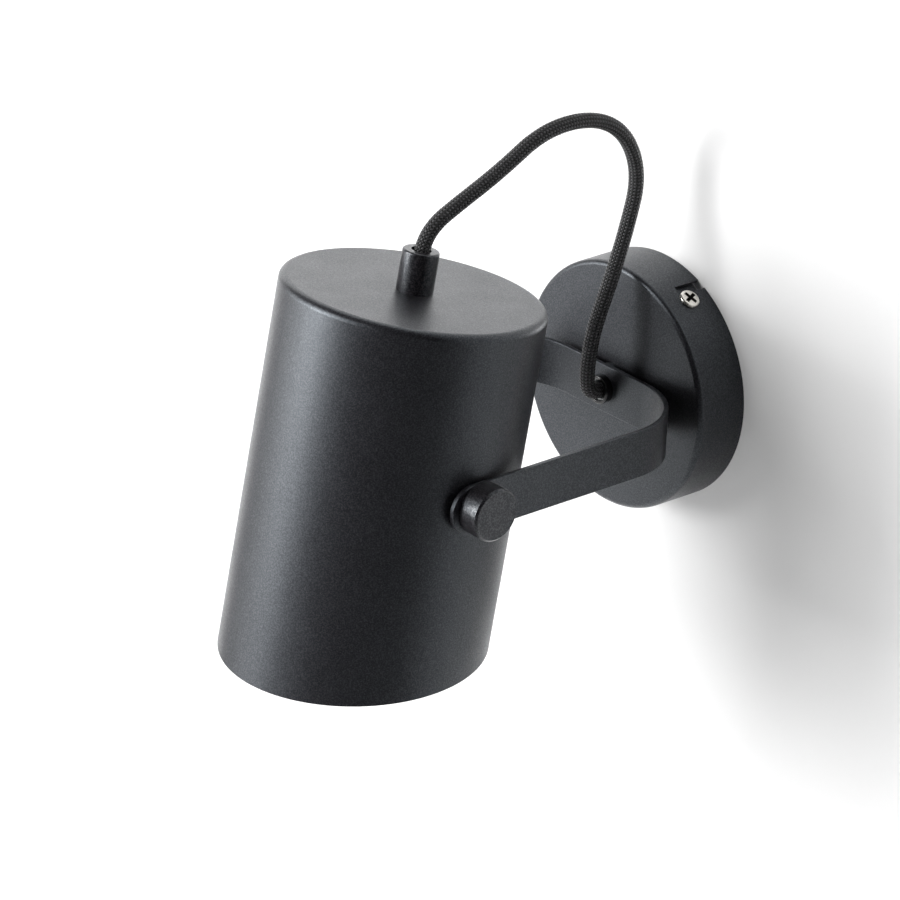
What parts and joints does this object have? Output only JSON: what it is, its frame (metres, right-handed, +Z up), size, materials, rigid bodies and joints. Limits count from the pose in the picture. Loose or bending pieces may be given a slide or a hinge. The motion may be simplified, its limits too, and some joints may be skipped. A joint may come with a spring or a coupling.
{
  "type": "pivoting spotlight wall light",
  "caption": "Wall spotlight: round wall cup, U-shaped yoke that swivels on it, cylindrical shade that tilts between knobs, and a braided cord looping over to the shade's top.",
  "frame": {"origin": "centre of the wall cup's back face, on the wall's surface and on the swivel axis", "axes": "+Y into the wall (the light stands out along -Y), +Z up, X along the tilt axis"},
  "size_m": [0.1272, 0.2039, 0.1978],
  "materials": {
    "black_coat": "fine-textured satin black powder coat",
    "black_knob": "coarser-textured satin black coat",
    "black_gloss": "glossy black moulding",
    "black_holder": "semi-gloss black thermoset",
    "nickel": "bright nickel",
    "zinc": "zinc-plated",
    "brass": "drawn brass",
    "nylon": "natural nylon",
    "ceramic": "white steatite-like insert",
    "braid": "braided textile sleeve",
    "brown_core": "smooth insulation",
    "blue_core": "smooth insulation",
    "green_core": "smooth insulation"
  },
  "bodies": {
    "wall_plate": {"wall_cup": "black_coat", "wall_bracket": "black_coat", "side_screws": "nickel", "terminal_block": "nylon", "terminal_tubes": "brass", "terminal_screws": "zinc", "earth_screw": "zinc", "earth_washer": "zinc", "live_core": "brown_core", "earth_core": "green_core", "neutral_core": "blue_core", "swivel_stop_stud": "zinc"},
    "yoke": {"yoke": "black_coat", "yoke_spacer": "black_coat", "swivel_tube": "zinc", "front_bushing": "black_gloss", "friction_washer": "nylon", "swivel_stop_washer": "zinc", "swivel_nut": "zinc", "cord_clamp": "nylon", "cord_tail_wall": "braid", "cord": "braid"},
    "shade_head": {"shade": "black_coat", "cord_grip": "black_coat", "grip_grub_screw": "zinc", "lamp_tube": "zinc", "inner_washer": "zinc", "lamp_nut": "zinc", "lampholder_cap": "black_holder", "lampholder_shell": "black_holder", "contact_block": "ceramic", "screw_shell": "brass", "centre_contact": "brass", "holder_screws": "zinc", "live_lead": "brown_core", "earth_lead": "green_core", "neutral_lead": "blue_core", "cord_tail_lamp": "braid", "pivot_nuts": "zinc", "side_spacers": "black_coat"},
    "knob_right": {"knob_right": "black_knob", "stud_right": "zinc"},
    "knob_left": {"knob_left": "black_knob", "stud_left": "zinc"}
  },
  "joints": [
    {"name": "swivel", "type": "hinge", "parent": "wall_plate", "child": "yoke", "pos_m": [0, 0, 0], "axis": [0, -1, 0], "range_deg": [-164, 164]},
    {"name": "tilt", "type": "hinge", "parent": "yoke", "child": "shade_head", "pos_m": [0, -0.13975, 0], "axis": [1, 0, 0], "range_deg": [-60, 45], "deforming": ["cord"]},
    {"name": "knob_right_turn", "type": "hinge", "parent": "shade_head", "child": "knob_right", "pos_m": [0, -0.13975, 0], "axis": [1, 0, 0], "range_deg": [0, 360]},
    {"name": "knob_left_turn", "type": "hinge", "parent": "shade_head", "child": "knob_left", "pos_m": [0, -0.13975, 0], "axis": [-1, 0, 0], "range_deg": [0, 360]}
  ]
}
